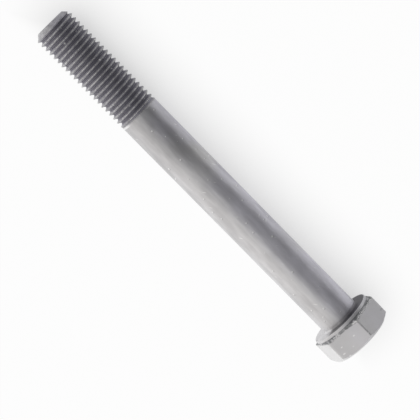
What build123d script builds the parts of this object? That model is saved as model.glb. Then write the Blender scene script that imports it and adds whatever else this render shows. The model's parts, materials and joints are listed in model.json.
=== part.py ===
"""Hexagon head bolt with a part-length thread, forged and rolled as one piece.

The bolt lies as it rests on a level surface: on the foot of one flat of its head and on a
crest of its thread near the tip, so its axis dips a little towards the tip. The origin is on
that surface, under the middle of the bolt. +X runs from the head towards the tip, +Z is up.
"""

import os
from math import atan2, ceil, cos, radians, sin, sqrt, tan

from build123d import *

# Thread, mm and degrees
pitch = 2.0
crest_diameter = 15.92
crest_width = 0.25
root_width = 0.38
thread_half_angle = 30.0
thread_length = 44.8
runout_length = 1.6
tip_chamfer = 2.1

# Shank, mm
length = 148.8
shank_diameter = 15.6
shoulder_length = 0.3
head_fillet = 0.8

# Head, mm and degrees
across_flats = 24.0
head_height = 11.2
crown_inset = 0.6
crown_angle = 34.0
corner_radius = 0.35
washer_inset = 0.1
washer_height = 1.8

# The crest that touches the ground, counted in pitches back from the end of the tip
contact_pitches = 1.29
# The groove is swept in stretches of this many turns, and starts this many past the tip
stretch_turns = 4
overrun_turns = 1.21
# How far the seams of round faces are turned from the level, clear of the helix's own ends
seam_angle = 37.0

flank_slope = tan(radians(thread_half_angle))
thread_height = (pitch - crest_width - root_width) / (2 * flank_slope)
crest_radius = crest_diameter / 2
root_radius = crest_radius - thread_height
shank_radius = shank_diameter / 2
flat_radius = across_flats / 2
corner_reach = across_flats / sqrt(3)
crown_radius = flat_radius - crown_inset
crown_slope = tan(radians(crown_angle))
washer_radius = flat_radius - washer_inset
end_radius = crest_radius - tip_chamfer
thread_start = length - thread_length
# How far cutters stand clear of what they cut, little enough to keep the groove's turns apart
clearance = crest_width / 2

# The resting pose: how far the axis dips, and where the middle of the bearing face stands
contact_run = washer_height + length - contact_pitches * pitch
dip = atan2(flat_radius - crest_radius, contact_run)
bearing_height = flat_radius * cos(dip) - washer_height * sin(dip)
tip_reach = length * cos(dip) + end_radius * sin(dip)
crown_reach = head_height * cos(dip) + crown_radius * sin(dip)
bearing_centre = Vector((crown_reach - tip_reach) / 2, 0, bearing_height)
along = Vector(cos(dip), 0, -sin(dip))
sideways = Vector(0, 1, 0)
axis = Axis(bearing_centre, along)
seam_side = sideways.rotate(Axis((0, 0, 0), along), seam_angle)

# In the section plane X runs along the axis towards the tip and Y runs outwards
section = Plane(bearing_centre, x_dir=along, z_dir=-seam_side)
towards_crown = Plane(bearing_centre, x_dir=sideways, z_dir=-along)
towards_tip = Plane(bearing_centre, x_dir=seam_side, z_dir=along)

# The groove starts past the tip, under the axis, and winds right-handed towards the head
groove_start = bearing_centre + along * (length + overrun_turns * pitch)
groove_height = thread_height + clearance
mouth_width = pitch - crest_width + 2 * clearance * flank_slope
stretch_length = stretch_turns * pitch
stretches = ceil((overrun_turns * pitch + thread_length + mouth_width / 2) / stretch_length)

with BuildPart() as groove:
    for stretch in range(stretches):
        stretch_start = groove_start - along * stretch * stretch_length
        with BuildLine():
            path = Helix(pitch, stretch_length, root_radius, stretch_start, -along)
        with BuildSketch(Plane(path @ 0, x_dir=path @ 0 - stretch_start, z_dir=path % 0)):
            with BuildLine():
                Polyline(
                    (0, -root_width / 2),
                    (groove_height, -mouth_width / 2),
                    (groove_height, mouth_width / 2),
                    (0, root_width / 2),
                    close=True,
                )
            make_face()
        sweep(path=path, is_frenet=True)
    # Towards the shank the groove's floor climbs a cone until it meets the surface
    runout_slope = thread_height / runout_length
    past_end = thread_start - stretch_length
    floor_end = thread_start + runout_length + clearance
    with BuildSketch(section):
        with BuildLine():
            Polyline(
                (past_end, 0),
                (past_end, crest_radius + stretch_length * runout_slope),
                (floor_end, root_radius - clearance * runout_slope),
                (floor_end, 0),
                close=True,
            )
        make_face()
    revolve(axis=axis, mode=Mode.SUBTRACT)

with BuildPart() as bolt:
    # A hexagon and a rod as thick as the crests, before anything is turned
    with BuildSketch(towards_crown):
        RegularPolygon(flat_radius, side_count=6, major_radius=False)
        fillet(vertices(), corner_radius)
    extrude(amount=head_height)
    with BuildSketch(towards_tip):
        Circle(crest_radius)
    extrude(amount=length)
    add(groove.part, mode=Mode.SUBTRACT)

    # The turned outline: crown, hexagon, washer face, shank, shoulder and tip
    crown_drop = (corner_reach - crown_radius) * crown_slope
    shoulder_slope = (crest_radius - shank_radius) / shoulder_length
    with BuildSketch(section):
        with BuildLine():
            Polyline(
                (-head_height, 0),
                (-head_height, crown_radius),
                (crown_drop - head_height, corner_reach),
                (-washer_height, corner_reach),
                (-washer_height, washer_radius),
                (0, washer_radius),
                (0, shank_radius),
                (thread_start - shoulder_length, shank_radius),
                (thread_start + clearance / shoulder_slope, crest_radius + clearance),
                (length - tip_chamfer - clearance, crest_radius + clearance),
                (length, end_radius),
                (length, 0),
                close=True,
            )
        make_face()
    revolve(axis=axis, mode=Mode.INTERSECT)
    neck = bolt.edges().sort_by_distance(bearing_centre)[0]
    fillet(neck, head_fillet)

bolt.part.label = "bolt"
os.makedirs("parts", exist_ok=True)
export_step(bolt.part, "parts/bolt.step")
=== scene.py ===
"""Looks of the long hexagon head bolt: its finished surface, the light and the camera.

The bolt is modelled along its own axis, in millimetres, with its bearing face at zero and its
tip upwards. It is then laid down in metres where the frame's mounts say it rests.
"""

import json
from math import atan2, ceil, cos, pi, radians, sin, sqrt, tan
from types import SimpleNamespace

import bmesh
import bpy
from mathutils import Matrix, Quaternion, Vector, noise


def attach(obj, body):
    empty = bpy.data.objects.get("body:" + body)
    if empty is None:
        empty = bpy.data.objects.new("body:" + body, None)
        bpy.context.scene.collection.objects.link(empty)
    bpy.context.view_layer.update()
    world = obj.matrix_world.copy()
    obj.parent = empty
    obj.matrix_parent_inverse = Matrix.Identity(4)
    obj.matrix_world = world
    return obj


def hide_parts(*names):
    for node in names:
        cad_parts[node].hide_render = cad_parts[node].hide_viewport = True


MM = 0.001

# Thread
PITCH = 2.0
CREST_RADIUS = 7.96
ROOT_RADIUS = 6.774
CREST_WIDTH = 0.25
ROOT_WIDTH = 0.38
THREAD_LENGTH = 44.8
RUNOUT_LENGTH = 1.6
SHOULDER_LENGTH = 0.3
TIP_CHAMFER = 2.1
# Where a groove lies on top of the bolt, measured from the bearing face
TOP_GROOVE = 146.22
# How the profile bends from a root to a crest. Each pair is a share of the thread's height,
# and one of half the root's width, of the flank's, or of half the crest's. On a crest both
# are measured back from its middle
ROOT_BEND = ((0, 0), (0.012, 0.55), (0.06, 1.1))
FLANK_BEND = ((0.16, 0.14), (0.5, 0.5))
CREST_BEND = ((0.05, 1.3), (0.01, 0.85), (0, 0.4))

# Shank and head
LENGTH = 148.8
SHANK_RADIUS = 7.8
NECK_FILLET = 0.8
FLAT_RADIUS = 12.0
HEAD_HEIGHT = 11.2
CROWN_RADIUS = 11.4
CROWN_ANGLE = radians(34)
WASHER_RADIUS = 11.9
WASHER_HEIGHT = 1.1
FOOT_ANGLE = radians(20)

# The torn strip where trimming left each flat, next to its foot. It sinks into the flat as
# far as a share of the corners' reach
TEAR_WIDTH = 0.85
TEAR_END = 0.985
TEAR_SPREAD = 0.55
TEAR_DEPTH = 0.13
TEAR_LIP = 0.1
TEAR_GRAIN = 0.9
TEAR_STEPS = (0.25, 0.6, 1.0)

# The washer face is a little wider on one side
SWELL = 0.4
SWELL_SIDE = radians(-85)

# How finely the surface is divided, how far its edges are rounded, and how near to each other
# points are that merge or that lie on one ring
COLUMNS = 144
SHANK_RINGS = 40
FILLET_STEPS = 6
HEAD_EDGE = 0.2
FOOT_EDGE = 0.045
WASHER_EDGE = 0.15
TIP_EDGE = 0.2
SHARP_ANGLE = radians(32)
WELD = 0.002
RING_SLACK = 0.01

THREAD_START = LENGTH - THREAD_LENGTH
THREAD_HEIGHT = CREST_RADIUS - ROOT_RADIUS
END_RADIUS = CREST_RADIUS - TIP_CHAMFER
CORNER_REACH = FLAT_RADIUS * 2 / sqrt(3)
CROWN_SLOPE = tan(CROWN_ANGLE)
CROWN_DROP = (CORNER_REACH - CROWN_RADIUS) * CROWN_SLOPE
FOOT_SLOPE = tan(FOOT_ANGLE)
FOOT_DROP = (CORNER_REACH - WASHER_RADIUS) * FOOT_SLOPE
FOOT_REACH = -WASHER_HEIGHT - FOOT_DROP

# The camera: degrees, metres and lens
VIEW_AZIMUTH = 30.516
VIEW_ELEVATION = 71.398
VIEW_ROLL = 164.286
VIEW_DISTANCE = 0.7316
VIEW_TARGET = (-0.007266, 0.005914, 0.011979)
LENS = 175.0

# The floor, in metres. The shadow is partly painted, by a lower glow: darkest at a line under
# the bolt, fading over its reach, and the bright side of the line has none
FLOOR_SIZE = 12.0
FLOOR_CELLS = 8
FLOOR_GAP = 0.00002
FLOOR_WHITE = 0.88
SHADOW_HALF_LENGTH = 0.07
SHADOW_REACH = (0.005, 0.03)
SHADOW_FADE = 0.45
BRIGHT_SIDE = (-0.004, 0.012)
# How much the floor glows by itself: in the painted shadow, elsewhere, and mirrored on the
# dark side, where the lower glow paints the reflected floor darker
SHADOW_GLOW = 0.55
OPEN_GLOW = 0.96
MIRRORED_GLOW = 0.5

# The room's light by its tilt from straight up towards the bright side, +Y. Each pair is a
# span in degrees over which the radiance changes, and by how much
ROOM_LIGHT = (
    ((-78, -60), 0.38),
    ((-54, -36), -0.145),
    ((-34, 10), 0.51),
    ((35, 65), 0.16),
    ((72, 94), 0.42),
)
ROOM_WARMTH = 0.02
WARM_SPAN = (-30, 50)

# The vertex attribute that marks rounded edges
WEAR = "edge_wear"


def tear_rings():
    """How far below the foot the rings of the torn strip are spun."""
    return [TEAR_WIDTH * step for step in TEAR_STEPS] + [TEAR_WIDTH + TEAR_LIP]


def turned_outline():
    """The outline from the crown's rim to the thread, as (radius, distance) pairs."""
    points = [
        (CROWN_RADIUS, -HEAD_HEIGHT),
        (CORNER_REACH, CROWN_DROP - HEAD_HEIGHT),
    ]
    points += [(CORNER_REACH, FOOT_REACH - reach) for reach in reversed(tear_rings())]
    points += [
        (CORNER_REACH, FOOT_REACH),
        (WASHER_RADIUS, -WASHER_HEIGHT),
        (WASHER_RADIUS, 0),
    ]
    for step in range(FILLET_STEPS + 1):
        turn = step / FILLET_STEPS * pi / 2
        out = NECK_FILLET * (1 - sin(turn))
        points.append((SHANK_RADIUS + out, NECK_FILLET * (1 - cos(turn))))
    plain = THREAD_START - SHOULDER_LENGTH - NECK_FILLET
    for ring in range(1, SHANK_RINGS + 1):
        points.append((SHANK_RADIUS, NECK_FILLET + plain * ring / SHANK_RINGS))
    return points


def thread_outline():
    """One pitch of the thread, from the middle of one root to the middle of the next."""
    half_root = ROOT_WIDTH / 2
    half_crest = CREST_WIDTH / 2
    flank = PITCH / 2 - half_crest - half_root
    half = [(ROOT_RADIUS + THREAD_HEIGHT * up, half_root * out) for up, out in ROOT_BEND]
    for up, out in FLANK_BEND:
        half.append((ROOT_RADIUS + THREAD_HEIGHT * up, half_root + flank * out))
    for down, out in CREST_BEND:
        half.append((CREST_RADIUS - THREAD_HEIGHT * down, PITCH / 2 - half_crest * out))
    return half + [(radius, PITCH - reach) for radius, reach in reversed(half)]


def polyline(mesh, points):
    """A chain of edges through (radius, distance) pairs, in a plane through the axis."""
    verts = [mesh.verts.new((radius, 0, reach)) for radius, reach in points]
    edges = [mesh.edges.new(pair) for pair in zip(verts, verts[1:])]
    return verts + edges


def radial(vert):
    return vert.co.xy.length


def set_radius(vert, radius):
    scale = radius / radial(vert)
    vert.co.x *= scale
    vert.co.y *= scale


def hexagon_reach(vert):
    """How far from the axis the hexagon's side is, in the direction of the vertex."""
    turn = atan2(vert.co.y, vert.co.x)
    past_flat = (turn + pi / 6) % (pi / 3) - pi / 6
    return FLAT_RADIUS / cos(past_flat)


def foot_line(vert):
    """How far along the bolt the flats' sloping foot is, at the vertex's radius."""
    return (WASHER_RADIUS - radial(vert)) * FOOT_SLOPE - WASHER_HEIGHT


def ring_at(mesh, radius, reach, slack=RING_SLACK):
    """The vertices at a radius and distance."""
    return {
        v
        for v in mesh.verts
        if abs(v.co.z - reach) < slack and abs(radial(v) - radius) < slack
    }


def joining_edges(mesh, chosen):
    """The edges between the chosen vertices, in the mesh's own order."""
    return [e for e in mesh.edges if chosen.issuperset(e.verts)]


def round_off(mesh, edges, width, segments=3):
    """Rounds edges, and marks the middle of each rounding for the material's wear."""
    made = bmesh.ops.bevel(
        mesh,
        geom=edges,
        offset=width,
        offset_type="OFFSET",
        affect="EDGES",
        segments=segments,
        profile=0.5,
        material=-1,
        clamp_overlap=True,
    )
    wear = mesh.verts.layers.float[WEAR]
    strip = set(made["faces"])
    for vert in made["verts"]:
        if all(face in strip for face in vert.link_faces):
            vert[wear] = 1


def tear_flats(rings):
    """Sinks the strip between a flat's foot and a wandering line, except at the corners."""
    for depth, (reach, ring) in enumerate(zip(tear_rings(), rings)):
        for vert in ring:
            edge = foot_line(vert)
            wander = noise.noise(vert.co.xy.to_3d() * TEAR_GRAIN) * TEAR_SPREAD
            rough = noise.noise(Vector((*vert.co.xy, depth)) / TEAR_GRAIN)
            vert.co.z = edge - reach * (1 + wander)
            if depth < len(TEAR_STEPS) and radial(vert) < CORNER_REACH * TEAR_END:
                set_radius(vert, radial(vert) - TEAR_DEPTH * (1 + rough))


def turned_blank(mesh):
    """Spins the head and shank, presses the head into a hexagon and rounds its edges."""
    bmesh.ops.spin(
        mesh,
        geom=polyline(mesh, turned_outline()),
        axis=(0, 0, 1),
        cent=(0, 0, 0),
        angle=2 * pi,
        steps=COLUMNS,
        use_merge=True,
    )
    bmesh.ops.remove_doubles(mesh, verts=mesh.verts, dist=WELD)
    crown = ring_at(mesh, CORNER_REACH, CROWN_DROP - HEAD_HEIGHT)
    foot = ring_at(mesh, CORNER_REACH, FOOT_REACH)
    tears = [ring_at(mesh, CORNER_REACH, FOOT_REACH - reach) for reach in tear_rings()]
    for vert in crown.union(foot, *tears):
        set_radius(vert, hexagon_reach(vert))
    for vert in crown:
        vert.co.z = (radial(vert) - CROWN_RADIUS) * CROWN_SLOPE - HEAD_HEIGHT
    for vert in foot:
        vert.co.z = foot_line(vert)
    corner_verts = {v for v in crown.union(foot, *tears) if radial(v) > CORNER_REACH - WELD}
    corners = joining_edges(mesh, corner_verts)
    tear_flats(tears)
    for vert in ring_at(mesh, WASHER_RADIUS, 0) | ring_at(mesh, WASHER_RADIUS, -WASHER_HEIGHT):
        side = cos(atan2(vert.co.y, vert.co.x) - SWELL_SIDE)
        set_radius(vert, WASHER_RADIUS + SWELL * max(0, side) ** 2)
    crown_rim = joining_edges(mesh, ring_at(mesh, CROWN_RADIUS, -HEAD_HEIGHT))
    bmesh.ops.holes_fill(mesh, edges=crown_rim, sides=0)
    round_off(mesh, corners + joining_edges(mesh, crown) + crown_rim, HEAD_EDGE)
    foot_rim = [
        e
        for e in mesh.edges
        if all(FOOT_REACH - WELD < v.co.z < -WASHER_HEIGHT - WELD for v in e.verts)
        and len(e.link_faces) == 2
        and e.calc_face_angle() > SHARP_ANGLE
    ]
    round_off(mesh, foot_rim, FOOT_EDGE, segments=2)
    washer_rim = joining_edges(mesh, ring_at(mesh, WASHER_RADIUS, 0, slack=SWELL + WELD))
    round_off(mesh, washer_rim, WASHER_EDGE)


def rolled_thread(mesh):
    """Winds one turn of the thread, repeats it up the bolt and shapes its two ends."""
    shank_end = THREAD_START - SHOULDER_LENGTH
    first = TOP_GROOVE - ceil((TOP_GROOVE - shank_end) / PITCH) * PITCH - PITCH
    turns = ceil((LENGTH - first) / PITCH)
    blank = set(mesh.verts)
    outline = [(radius, first + reach) for radius, reach in thread_outline()]
    bmesh.ops.spin(
        mesh,
        geom=polyline(mesh, outline),
        axis=(0, 0, 1),
        cent=(0, 0, 0),
        dvec=(0, 0, PITCH / COLUMNS),
        angle=2 * pi,
        steps=COLUMNS,
        use_merge=False,
    )
    one_turn = [face for face in mesh.faces if blank.isdisjoint(face.verts)]
    for turn in range(1, turns + 1):
        copied = bmesh.ops.duplicate(mesh, geom=one_turn)["geom"]
        verts = [part for part in copied if isinstance(part, bmesh.types.BMVert)]
        bmesh.ops.translate(mesh, vec=(0, 0, turn * PITCH), verts=verts)
    thread = [v for v in mesh.verts if v not in blank]
    bmesh.ops.remove_doubles(mesh, verts=thread, dist=WELD)
    for end, side in ((shank_end + WELD, -1), (LENGTH, 1)):
        thread = [v for v in mesh.verts if v not in blank]
        for parts in (mesh.edges, mesh.faces):
            thread += [part for part in parts if blank.isdisjoint(part.verts)]
        bmesh.ops.bisect_plane(
            mesh,
            geom=thread,
            plane_co=(0, 0, end),
            plane_no=(0, 0, side),
            clear_outer=True,
        )
    for vert in mesh.verts:
        if vert not in blank:
            shape_thread_end(vert)


def shape_thread_end(vert):
    """The runout's floor, the shoulder and the tip's chamfer, as limits on the radius."""
    reach = vert.co.z
    to_end = THREAD_START + RUNOUT_LENGTH - reach
    runout = ROOT_RADIUS + to_end * THREAD_HEIGHT / RUNOUT_LENGTH
    radius = max(radial(vert), min(runout, CREST_RADIUS))
    slope = (CREST_RADIUS - SHANK_RADIUS) / SHOULDER_LENGTH
    shoulder = SHANK_RADIUS + max(0, reach - THREAD_START + SHOULDER_LENGTH) * slope
    set_radius(vert, min(radius, shoulder, END_RADIUS + LENGTH - reach))


def bolt_axes():
    """Middle of the bearing face, and the bolt's axis and upward side, from the mounts."""
    mounts = {m["name"]: m for m in frame["record"]["mounts"]}
    along = Vector(mounts["shank"]["axis"]).normalized()
    upward = Vector((0, 1, 0)).cross(along) * -1
    middle = Vector(mounts["shank"]["pos_m"])
    face = Vector(mounts["bearing_face"]["pos_m"])
    return middle + along * (face - middle).dot(along), along, upward


def bolt_piece(bearing, along, upward):
    """The whole bolt as one closed mesh, laid down where it rests."""
    mesh = bmesh.new()
    mesh.verts.layers.float.new(WEAR)
    turned_blank(mesh)
    rolled_thread(mesh)
    open_edges = [e for e in mesh.edges if e.is_boundary]
    joint = [e for e in open_edges if e.verts[0].co.z < THREAD_START + PITCH]
    bmesh.ops.bridge_loops(mesh, edges=joint)
    bmesh.ops.holes_fill(mesh, edges=[e for e in mesh.edges if e.is_boundary], sides=0)
    tip_rim = joining_edges(mesh, ring_at(mesh, END_RADIUS, LENGTH))
    round_off(mesh, tip_rim, TIP_EDGE)
    turn = Matrix((upward, along.cross(upward), along)).transposed().to_4x4()
    place = Matrix.Translation(bearing) @ turn @ Matrix.Scale(MM, 4)
    bmesh.ops.transform(mesh, matrix=place, verts=mesh.verts)
    bmesh.ops.recalc_face_normals(mesh, faces=mesh.faces)
    for face in mesh.faces:
        face.smooth = True
    data = bpy.data.meshes.new("hexagon_bolt")
    mesh.to_mesh(data)
    mesh.free()
    data.set_sharp_from_angle(angle=SHARP_ANGLE)
    piece = bpy.data.objects.new("hexagon_bolt", data)
    bpy.context.scene.collection.objects.link(piece)
    flats = piece.modifiers.new("even_flats", "WEIGHTED_NORMAL")
    flats.keep_sharp = True
    return piece


class Value:
    """A number that varies over a surface. An expression on it adds its Math nodes."""

    def __init__(self, finish, node, output=0):
        self.finish = finish
        self.node = node
        self.socket = node.outputs[output]

    def out(self, output):
        return Value(self.finish, self.node, output)

    def maths(self, operation, *values):
        inputs = dict(enumerate(values))
        return self.finish.node("Math", {"operation": operation}, inputs)

    def __add__(self, other):
        return self.maths("ADD", self, other)

    __radd__ = __add__

    def __sub__(self, other):
        return self.maths("SUBTRACT", self, other)

    def __rsub__(self, other):
        return self.maths("SUBTRACT", other, self)

    def __mul__(self, other):
        return self.maths("MULTIPLY", self, other)

    __rmul__ = __mul__

    def most(self, other):
        return self.maths("MAXIMUM", self, other)

    def rise(self, start, end):
        """Goes smoothly from 0 to 1 between two values of this one, in either order."""
        settings = {"interpolation_type": "SMOOTHSTEP"}
        span = {"From Min": start, "From Max": end}
        return self.finish.node("MapRange", settings, {"Value": self} | span)

    def between(self, rising, falling):
        """Rises to 1 along one span, and back to 0 along another that is given in reverse."""
        return self.rise(*rising) * self.rise(*falling)


class Finish:
    """The nodes of one material or world, added one call at a time."""

    def __init__(self, owner):
        owner.use_nodes = True
        self.owner = owner
        self.tree = owner.node_tree
        self.tree.nodes.clear()

    def node(self, kind, settings=None, inputs=None):
        made = self.tree.nodes.new("ShaderNode" + kind)
        for name, value in (settings or {}).items():
            setattr(made, name, value)
        for key, value in (inputs or {}).items():
            if isinstance(value, Value):
                self.tree.links.new(value.socket, made.inputs[key])
            else:
                made.inputs[key].default_value = value
        return Value(self, made) if made.outputs else made

    def vector(self, operation, *values):
        return self.node("VectorMath", {"operation": operation}, dict(enumerate(values)))

    def blend(self, amount, first, second):
        """A colour between two colours."""
        inputs = {0: amount, 6: first, 7: second}
        return self.node("Mix", {"data_type": "RGBA"}, inputs).out(2)

    def darken(self, colour, tone):
        """A colour multiplied by a tone from 0 to 1."""
        settings = {"data_type": "RGBA", "blend_type": "MULTIPLY"}
        shade = self.node("CombineColor", {}, {0: tone, 1: tone, 2: tone})
        return self.node("Mix", settings, {0: 1.0, 6: colour, 7: shade}).out(2)

    def noise(self, place, size, detail, roughness):
        """Cloudy noise from 0 to 1, whose blotches are about this size."""
        inputs = {"Vector": place, "Scale": 1 / size, "Detail": detail, "Roughness": roughness}
        return self.node("TexNoise", {}, inputs)


def grey(level, warmth=0.0):
    """A grey, warmer or cooler by a share of its level."""
    return (level * (1 + warmth), level, level * (1 - warmth), 1.0)


# Noise in the steel: size in mm, detail and roughness. Streaks and drag marks are drawn out
# along the bolt
BLOTCHES = (9, 3, 0.5)
STREAKS = (1.3, 3, 0.6)
STREAK_STRETCH = (0.045, 1, 1)
DRAG = (3.0, 2, 0.5)
DRAG_STRETCH = (0.27, 1, 1)
GRAIN = (0.45, 2, 0.5)
PITS = (1.6, 4, 0.65)
TINT = (16, 1, 0.5)

# Marks on the steel: spacing, smallest and largest radius in mm, and the share of places that
# hold one. Fibres and lint are laid at an angle and drawn out
DUST = (5.2, 0.16, 0.46, 0.5)
# The dark dot beside each speck of dust is its painted shadow, shifted to one side; the relief
# also sinks it as a dent
DUST_SHADOWS = (5.2, 0.16, 0.5, 0.5)
DUST_SHADOW_SHIFT = (0.3, 0.25, 0)
CRUMBS = (2.1, 0.16, 0.45, 0.4)
CRUMB_SHIFT = (1.3, 2.9, 0)
FIBRES = (3.0, 0.13, 0.27, 0.35)
FIBRE_LAY = {"Rotation": (0, 0, 0.7), "Scale": (4.5, 1, 1)}
LINT = (3.6, 0.13, 0.27, 0.35)
LINT_LAY = {"Rotation": (0, 0, -1.1), "Scale": (4, 1, 1)}
# Over how much of the draw a mark goes from missing to whole
DRAW_EDGE = 0.02

# A dark speck on the rim of the washer face: mm along, sideways and up from its centre
STAIN = (-0.4, 11.3, 3.6)
STAIN_RADIUS = (0.75, 0.3)

# The steel's colours, on the head and shank, and on the thread. The cool one is a painted
# reflection of the room's dark side, and the two flanks are painted shade on the dark side and
# painted light on the lit side
PLAIN = (0.655, 0.65, 0.66, 1)
COOL_SHADE_SIDE = (0.645, 0.637, 0.692, 1)
THREAD_CREST = grey(0.41)
SHADE_SIDE_FLANK = (0.48, 0.47, 0.53, 1)
LIT_SIDE_FLANK = (0.66, 0.65, 0.7, 1)
# How bright they are on the head and shank, and what each pattern or zone adds or takes
TONE = {
    "base": 0.77,
    "blotches": 0.28,
    "streaks": 0.07,
    "drag": 0.17,
    "head": 0.1,
    "upper_flats": 0.07,
    "shank_end": 0.1,
    "dark_top_band": 0.22,
    "chamfer": 0.42,
    "bright_chamfer": 0.2,
}

# Painted shade on the bearing face round the neck, where it mirrors the shank's shaded side
# and the floor's shadow: thin and thick, and how much of the steel the thin one hides
THIN_NECK_SHADE = (0.17, 0.168, 0.175, 1)
THICK_NECK_SHADE = (0.14, 0.135, 0.15, 1)
THIN_COVER = 0.75

# What lies on the steel or is worn into it, and the painted shade, highlights and shadows laid
# over it: how much of the steel it hides, and its colour.
# Grit hides a least share, and more of it where the steel is pitted
LAYERS = {
    # The root's dark is painted shade deep in the thread's grooves
    "root": (0.8, (0.2, 0.195, 0.225, 1)),
    "grit": (1.0, (0.27, 0.265, 0.3, 1)),
    "crest": (0.9, grey(0.72)),
    # The shoulder's pale layer is a painted highlight where it catches the light
    "shoulder": (0.85, grey(0.95)),
    # Painted light on the head's flat on the lit side
    "painted_lit_flat": (0.7, grey(0.86)),
    "torn": (0.85, grey(0.17, -0.04)),
    # The lip's near-white layer is a painted glint
    "painted_lip_glint": (0.8, grey(0.97)),
    "corner": (0.35, grey(0.3, -0.02)),
    "worn": (0.5, grey(0.85)),
    # Painted shadow beside each speck of dust, which is also a dent
    "dust_shadows_and_dents": (0.3, grey(0.3)),
    "stain": (1.0, grey(0.12)),
    "dust": (0.75, grey(0.97)),
    "crumbs": (0.75, grey(0.97)),
    "fibres": (0.7, grey(0.92)),
}
GRIT_COVER = (0.25, 0.4)

# Roughness and relief, and what each pattern or mark adds or takes
ROUGH = {"base": 0.46, "blotches": 0.08, "groove": 0.12, "dust": 0.2}
RELIEF = {
    "streaks": 0.25,
    "drag": 6,
    "grain": 0.16,
    "pits": 0.1,
    "head_pits": 0.25,
    "dust_shadows_and_dents": 0.8,
    "dust": 0.3,
}
RELIEF_STRENGTH = 0.5
RELIEF_DEPTH = 0.00006


def specks(steel, unrolled, spacing, smallest, largest, chance):
    """Scattered round marks on the unrolled surface, from 0 to 1."""
    settings = {"voronoi_dimensions": "2D"}
    cells = steel.node("TexVoronoi", settings, {"Vector": unrolled, "Scale": 1 / spacing})
    draw = steel.node("SeparateColor", {}, {"Color": cells.out("Color")})
    size = smallest + draw.out("Green") * (largest - smallest)
    inside = (size - cells * spacing).rise(0, smallest)
    return inside * draw.rise(1 - chance, 1 - chance + DRAW_EDGE)


def steel_places(steel, bearing, along):
    """Where a point is, in mm: along the bolt, sideways, up, from its axis and round it."""
    dip = atan2(-along.z, along.x)
    pose = {"Location": bearing, "Rotation": (0, dip, 0), "Scale": (MM, MM, MM)}
    coords = steel.node("TexCoord").out("Object")
    point = steel.node("Mapping", {"vector_type": "TEXTURE"}, {"Vector": coords} | pose)
    parts = steel.node("SeparateXYZ", {}, {"Vector": point})
    reach, sideways, height = parts.out("X"), parts.out("Y"), parts.out("Z")
    radius = steel.vector("LENGTH", steel.vector("MULTIPLY", point, (0, 1, 1))).out("Value")
    around = parts.maths("ARCTAN2", sideways, height) * SHANK_RADIUS
    unrolled = steel.node("CombineXYZ", {}, {"X": reach, "Y": around})
    return SimpleNamespace(
        point=point,
        reach=reach,
        sideways=sideways,
        height=height,
        radius=radius,
        around=around,
        unrolled=unrolled,
    )


def steel_zones(steel, at):
    """The parts of the bolt that look different, some only by painted light or shade, each
    from 0 to 1. Spans are in mm.
    """
    reach, around, radius, sideways = at.reach, at.around, at.radius, at.sideways
    depth = CREST_RADIUS - radius
    tip_cone = LENGTH + END_RADIUS
    thread = reach.rise(THREAD_START - 0.5, THREAD_START + 0.6)
    chamfer = (reach + radius).rise(tip_cone - 0.35, tip_cone - 0.05)
    rolled = thread * (1 - chamfer)
    shoulder = reach.between(
        (THREAD_START - 0.8, THREAD_START - 0.4), (THREAD_START + 0.4, THREAD_START)
    )

    head = reach.rise(0.3, -0.3)
    flats = head * radius.rise(CROWN_RADIUS + 0.1, CROWN_RADIUS + 0.4)
    face = radius.rise(WASHER_RADIUS - 0.1, WASHER_RADIUS - 0.5) * reach.rise(-0.2, -0.05)
    foot = reach.rise(0.15 - WASHER_HEIGHT, -WASHER_HEIGHT - 0.05)
    foot = foot * radius.rise(WASHER_RADIUS - 0.2, WASHER_RADIUS + 0.1)
    # The torn strip is a little wider on the dark side, where a painted glint marks its lip
    torn_edge = reach + around.rise(-1, -3) * 0.3
    corner = head * radius.rise(CORNER_REACH - 0.22, CORNER_REACH - 0.12)
    return SimpleNamespace(
        thread=thread,
        chamfer=chamfer,
        rolled=rolled,
        groove=depth.rise(0.02, 0.55) * rolled,
        # Painted shade deep in the thread's grooves
        root=depth.rise(0.6, 1.1) * rolled,
        crest=depth.rise(0.16, 0.02) * thread,
        # Painted highlight on the shoulder, on the lit side only
        shoulder=shoulder * around.between((2.5, 5.5), (14, 11)),
        shank_end=reach.rise(55, 98) * (1 - chamfer),
        # Darker along the top of the shank near the thread, towards the dark side
        dark_top_band=around.between((-7.2, -4.9), (3.5, -4.0)),
        head=head,
        upper_flats=flats * sideways.rise(-7.4, -6.4) * at.height.rise(0, 3),
        # Painted light: the flat on the lit side is lighter
        painted_lit_flat=flats * sideways.rise(5.6, 7.4) * reach.rise(-1.6, -2.4),
        # Painted shade round the neck, on the bearing face towards the dark side
        neck_shade=reach.rise(1.6, 0.1) * face * around.rise(4.4, 2.6).most(around.rise(22, 24)),
        torn=foot * torn_edge.rise(-2.35, -1.8),
        # Painted glint along the torn strip's lip
        painted_lip_glint=foot * reach.between((-2.6, -2.2), (-1.7, -1.95)) * around.rise(-2.5, -3.5),
        corner=corner * around.between((-8, -6), (-2, -3)),
        stain=steel.vector("DISTANCE", at.point, STAIN).out("Value").rise(*STAIN_RADIUS),
    )


def steel_patterns(steel, point):
    """Blotches, lengthwise streaks and drag marks, fine grain and pits, from 0 to 1."""
    return SimpleNamespace(
        blotches=steel.noise(point, *BLOTCHES),
        streaks=steel.noise(steel.vector("MULTIPLY", point, STREAK_STRETCH), *STREAKS),
        drag=steel.noise(steel.vector("MULTIPLY", point, DRAG_STRETCH), *DRAG),
        grain=steel.noise(point, *GRAIN),
        pits=steel.noise(point, *PITS),
        tint=steel.noise(point, *TINT),
    )


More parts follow.
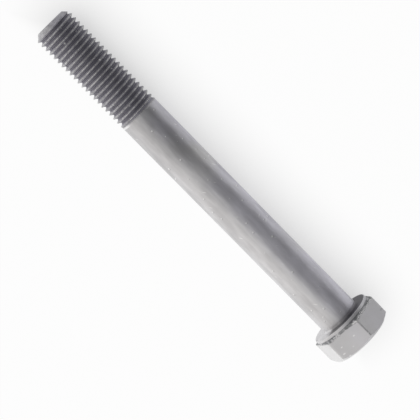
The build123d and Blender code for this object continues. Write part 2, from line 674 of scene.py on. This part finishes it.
def steel_marks(steel, at, zones):
    """Dust with a painted shadow beside it that is also a dent, crumbs on the head, and
    fibres, from 0 to 1.
    """
    settings = {"vector_type": "TEXTURE"}
    shifted = steel.vector("ADD", at.unrolled, CRUMB_SHIFT)
    beside = steel.vector("ADD", at.unrolled, DUST_SHADOW_SHIFT)
    laid = steel.node("Mapping", settings, {"Vector": at.unrolled} | FIBRE_LAY)
    crossed = steel.node("Mapping", settings, {"Vector": shifted} | LINT_LAY)
    fibres = specks(steel, laid, *FIBRES).most(specks(steel, crossed, *LINT))
    crumbs = specks(steel, shifted, *CRUMBS) * zones.head
    return SimpleNamespace(
        dust=specks(steel, at.unrolled, *DUST) * (1 - zones.head),
        dust_shadows_and_dents=specks(steel, beside, *DUST_SHADOWS),
        crumbs=crumbs * at.around.rise(-4.5, -3.8),
        fibres=fibres * (1 - zones.thread),
    )


def steel_tone(at, zones, patterns):
    """How bright the steel is on the head, shank and chamfer."""
    drawn = patterns.streaks.rise(0.25, 0.75) * TONE["streaks"]
    drawn = drawn + patterns.drag.rise(0.3, 0.7) * TONE["drag"]
    tone = TONE["base"] + patterns.blotches * TONE["blotches"] + drawn * (1 - zones.head)
    tone = tone + zones.head * TONE["head"] + zones.upper_flats * TONE["upper_flats"]
    tone = tone - zones.shank_end * (TONE["shank_end"] + zones.dark_top_band * TONE["dark_top_band"])
    dull = TONE["chamfer"] - at.sideways.rise(1, 6) * TONE["bright_chamfer"]
    return tone - zones.chamfer * dull * patterns.pits.rise(0.2, 0.6)


def covered(steel, colour, amounts):
    """A colour with the named layers over it, one after another."""
    for name, amount in amounts.items():
        cover, paint = LAYERS[name]
        colour = steel.blend(amount * cover, colour, paint)
    return colour


def steel_colour(steel, at, zones, patterns, marks):
    """The bare steel, and in turn each layer of dirt, wear, dust, painted shade and painted
    highlights over it.
    """
    grain, pits = patterns.grain, patterns.pits
    # Painted reflection: a cool tint of the room's dark side on the steel that faces it
    cool_shade_side = at.sideways.rise(1, -4) * patterns.tint.rise(0.2, 0.6) * (1 - zones.head * 0.6)
    plain = steel.blend(cool_shade_side, PLAIN, COOL_SHADE_SIDE)
    colour = steel.darken(plain, steel_tone(at, zones, patterns))
    # Painted light: the flanks are lighter on the lit side and darker on the shade side
    flank = steel.blend(at.sideways.rise(-4.7, 2.9), SHADE_SIDE_FLANK, LIT_SIDE_FLANK)
    rolled = steel.blend(zones.groove, THREAD_CREST, flank)
    colour = steel.blend(zones.rolled, colour, rolled)
    least_grit, more_grit = GRIT_COVER
    under_neck_shade = {
        "root": zones.root,
        "grit": zones.thread * grain.rise(0.58, 0.42) * (least_grit + pits * more_grit),
        "crest": zones.crest * grain.rise(0.4, 0.55) * pits.rise(0.35, 0.6),
        "shoulder": zones.shoulder,
    }
    colour = covered(steel, colour, under_neck_shade)

    # Painted shade round the neck, thicker towards the dark side
    thick = at.around.rise(0, -6)
    neck_shade_colour = steel.blend(thick, THIN_NECK_SHADE, THICK_NECK_SHADE)
    colour = steel.blend(zones.neck_shade * (THIN_COVER + thick * (1 - THIN_COVER)), colour, neck_shade_colour)

    wear = steel.node("Attribute", {"attribute_name": WEAR}).out("Fac")
    over_neck_shade = {
        "painted_lit_flat": zones.painted_lit_flat,
        "torn": zones.torn * pits.rise(0.36, 0.52),
        "painted_lip_glint": zones.painted_lip_glint * grain.rise(0.42, 0.56),
        "corner": zones.corner,
        "worn": wear * pits.rise(0.35, 0.65),
        "dust_shadows_and_dents": marks.dust_shadows_and_dents,
        "stain": zones.stain,
        "dust": marks.dust,
        "crumbs": marks.crumbs,
        "fibres": marks.fibres,
    }
    return covered(steel, colour, over_neck_shade)


def phosphated_steel(bearing, along):
    """Satin grey steel: streaked shank, dark thread, worn edges, dust and fibres, with painted
    shade in the thread's roots and round the neck, painted highlights, and painted shadows
    beside the dust.
    """
    steel = Finish(bpy.data.materials.new("phosphated_steel"))
    at = steel_places(steel, bearing, along)
    zones = steel_zones(steel, at)
    patterns = steel_patterns(steel, at.point)
    marks = steel_marks(steel, at, zones)
    colour = steel_colour(steel, at, zones, patterns, marks)

    rough = ROUGH["base"] + patterns.blotches * ROUGH["blotches"]
    rough = rough + zones.groove * ROUGH["groove"] + marks.dust * ROUGH["dust"]
    drawn = patterns.streaks * RELIEF["streaks"] + patterns.drag * RELIEF["drag"]
    pitted = patterns.pits * (RELIEF["pits"] + zones.head * RELIEF["head_pits"])
    relief = drawn * (1 - zones.head) + patterns.grain * RELIEF["grain"] + pitted
    relief = relief - marks.dust_shadows_and_dents * RELIEF["dust_shadows_and_dents"] + marks.dust * RELIEF["dust"]
    bumps = {"Strength": RELIEF_STRENGTH, "Distance": RELIEF_DEPTH, "Height": relief}
    normal = steel.node("Bump", {}, bumps)
    surface = {"Base Color": colour, "Metallic": 1.0, "Roughness": rough, "Normal": normal}
    shader = steel.node("BsdfPrincipled", {}, surface)
    steel.node("OutputMaterial", {}, {"Surface": shader})
    return steel.owner


def white_paper():
    """The floor: white where the light reaches it, and darker in the bolt's shadow, which is
    partly real and partly painted by a lower glow.
    """
    paper = Finish(bpy.data.materials.new("white_paper"))
    rays = paper.node("LightPath")
    place = paper.node("SeparateXYZ", {}, {"Vector": paper.node("TexCoord").out("Object")})
    # The glow is lower near the bolt, and on its dark side in reflections, which paints the
    # shadow there
    past_end = (place.maths("ABSOLUTE", place) - SHADOW_HALF_LENGTH).most(0)
    apart = {"X": past_end, "Y": place.out("Y")}
    away = paper.vector("LENGTH", paper.node("CombineXYZ", {}, apart)).out("Value")
    bright = place.out("Y").rise(*BRIGHT_SIDE)
    fade = away.rise(*SHADOW_REACH)
    clear = bright.most(fade.maths("POWER", fade, SHADOW_FADE))
    seen = SHADOW_GLOW + clear * (OPEN_GLOW - SHADOW_GLOW)
    mirrored = MIRRORED_GLOW + bright * (1 - MIRRORED_GLOW)
    amount = rays.out("Is Camera Ray") * seen + rays.out("Is Glossy Ray") * mirrored
    lit = paper.node("BsdfDiffuse", {}, {"Color": grey(FLOOR_WHITE)})
    glow = paper.node("Emission", {}, {"Color": grey(1.0), "Strength": 1.0})
    surface = paper.node("MixShader", {}, {0: amount, 1: lit, 2: glow})
    paper.node("OutputMaterial", {}, {"Surface": surface})
    return paper.owner


def floor_piece():
    """A wide level sheet just under the bolt."""
    mesh = bmesh.new()
    cells = {"x_segments": FLOOR_CELLS, "y_segments": FLOOR_CELLS}
    bmesh.ops.create_grid(mesh, size=FLOOR_SIZE / 2, **cells)
    data = bpy.data.meshes.new("floor")
    mesh.to_mesh(data)
    mesh.free()
    data.materials.append(white_paper())
    floor = bpy.data.objects.new("floor", data)
    floor.location.z = -FLOOR_GAP
    bpy.context.scene.collection.objects.link(floor)
    return floor


def studio():
    """A white room whose light comes mostly from one side."""
    room = Finish(bpy.data.worlds.new("room"))
    bpy.context.scene.world = room.owner
    toward = room.node("SeparateXYZ", {}, {"Vector": room.node("TexCoord").out("Generated")})
    tilt = toward.maths("ARCTAN2", toward.out("Y"), toward.out("Z")) * (180 / pi)
    level = 0
    for span, radiance in ROOM_LIGHT:
        level = tilt.rise(*span) * radiance + level
    warmth = room.blend(tilt.rise(*WARM_SPAN), grey(1.0), grey(1.0, ROOM_WARMTH))
    room_light = room.node("Background", {}, {"Color": warmth, "Strength": level})
    white = room.node("Background", {}, {"Color": grey(1.0), "Strength": 1.0})
    rays = room.node("LightPath").out("Is Camera Ray")
    surface = room.node("MixShader", {}, {0: rays, 1: room_light, 2: white})
    room.node("OutputWorld", {}, {"Surface": surface})


def camera():
    """The camera, from its direction, distance, target and roll."""
    turn, lift = radians(VIEW_AZIMUTH), radians(VIEW_ELEVATION)
    away = Vector((sin(turn) * cos(lift), -cos(turn) * cos(lift), sin(lift)))
    view = bpy.data.objects.new("camera", bpy.data.cameras.new("camera"))
    view.data.lens = LENS
    view.location = Vector(VIEW_TARGET) + away * VIEW_DISTANCE
    level = away.to_track_quat("Z", "Y")
    roll = Quaternion((0, 0, 1), radians(-VIEW_ROLL))
    view.rotation_euler = (level @ roll).to_euler()
    bpy.context.scene.collection.objects.link(view)
    bpy.context.scene.camera = view


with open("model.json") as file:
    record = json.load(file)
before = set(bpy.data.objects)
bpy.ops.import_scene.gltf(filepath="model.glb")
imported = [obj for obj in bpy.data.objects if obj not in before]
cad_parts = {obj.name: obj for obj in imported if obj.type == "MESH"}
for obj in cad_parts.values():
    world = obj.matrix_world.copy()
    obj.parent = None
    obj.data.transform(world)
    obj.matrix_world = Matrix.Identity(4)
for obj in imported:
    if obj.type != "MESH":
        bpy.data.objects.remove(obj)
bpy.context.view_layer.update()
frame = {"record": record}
bearing, along, upward = bolt_axes()
bolt = bolt_piece(bearing, along, upward)
bolt.data.materials.append(phosphated_steel(bearing, along))
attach(bolt, "root")
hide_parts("bolt")
floor_piece()
studio()
camera()
bpy.context.scene.view_settings.view_transform = "Standard"
